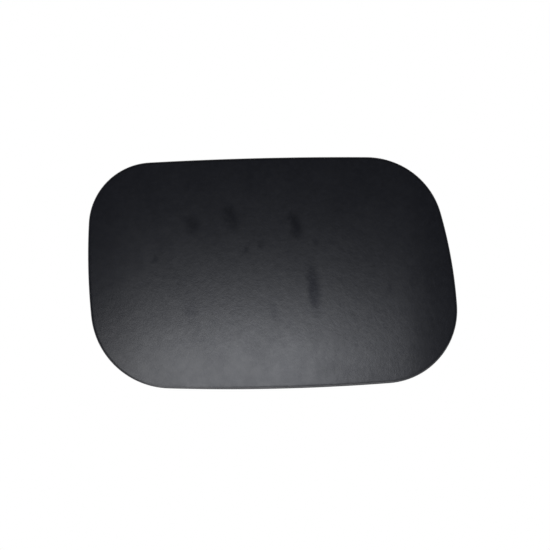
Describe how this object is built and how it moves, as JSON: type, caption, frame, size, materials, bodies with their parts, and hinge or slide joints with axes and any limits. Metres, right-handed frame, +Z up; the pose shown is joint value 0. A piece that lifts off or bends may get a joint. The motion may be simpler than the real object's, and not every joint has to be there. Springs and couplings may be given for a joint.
{
  "type": "car fuel door",
  "caption": "Black primed steel fuel filler door: hemmed, crowned panel with rounded corners, sprung side hinge, catch, bumpers and cap holder.",
  "frame": {"origin": "midway between the two bolt holes of the hinge bracket, on its seating face", "axes": "+X along the panel away from the hinge, +Y into the car, square to the seating face, +Z up; the outer face looks towards -Y"},
  "size_m": [0.1998, 0.046, 0.1262],
  "materials": {
    "coated_steel": "satin black primer coat",
    "zinc_steel": "zinc plated, dull",
    "spring_steel": "dark phosphated wire",
    "nylon": "natural nylon",
    "rubber": "matt black rubber",
    "moulded_plastic": "fine grained dark grey moulding"
  },
  "bodies": {
    "hinge_mount": {"hinge_bracket": "coated_steel", "bush_upper": "nylon", "bush_lower": "nylon"},
    "door": {"outer_panel": "coated_steel", "inner_panel": "coated_steel", "hinge_arm": "coated_steel", "arm_rivet_1": "zinc_steel", "arm_rivet_2": "zinc_steel", "arm_rivet_3": "zinc_steel", "arm_rivet_4": "zinc_steel", "catch_plate": "coated_steel", "catch_rivet_1": "zinc_steel", "catch_rivet_2": "zinc_steel", "bumper_upper": "rubber", "bumper_lower": "rubber", "cap_holder": "moulded_plastic", "holder_clip_1": "moulded_plastic", "holder_clip_2": "moulded_plastic", "hinge_pin": "zinc_steel", "pin_clip": "zinc_steel"},
    "spring": {"toggle_spring": "spring_steel"}
  },
  "joints": [
    {"name": "door_swing", "type": "hinge", "parent": "hinge_mount", "child": "door", "pos_m": [-0.028, -0.028, 0], "axis": [0, 0, -1], "range_deg": [0, 90], "deforming": ["toggle_spring"]},
    {"name": "spring_turn", "type": "hinge", "parent": "hinge_mount", "child": "spring", "pos_m": [-0.028, -0.008, 0.015], "axis": [0, 0, 1], "range_deg": [0, 57.36]}
  ],
  "couplings": [
    {"joint": "spring_turn", "follows": "door_swing", "ratio": 0.63722}
  ]
}
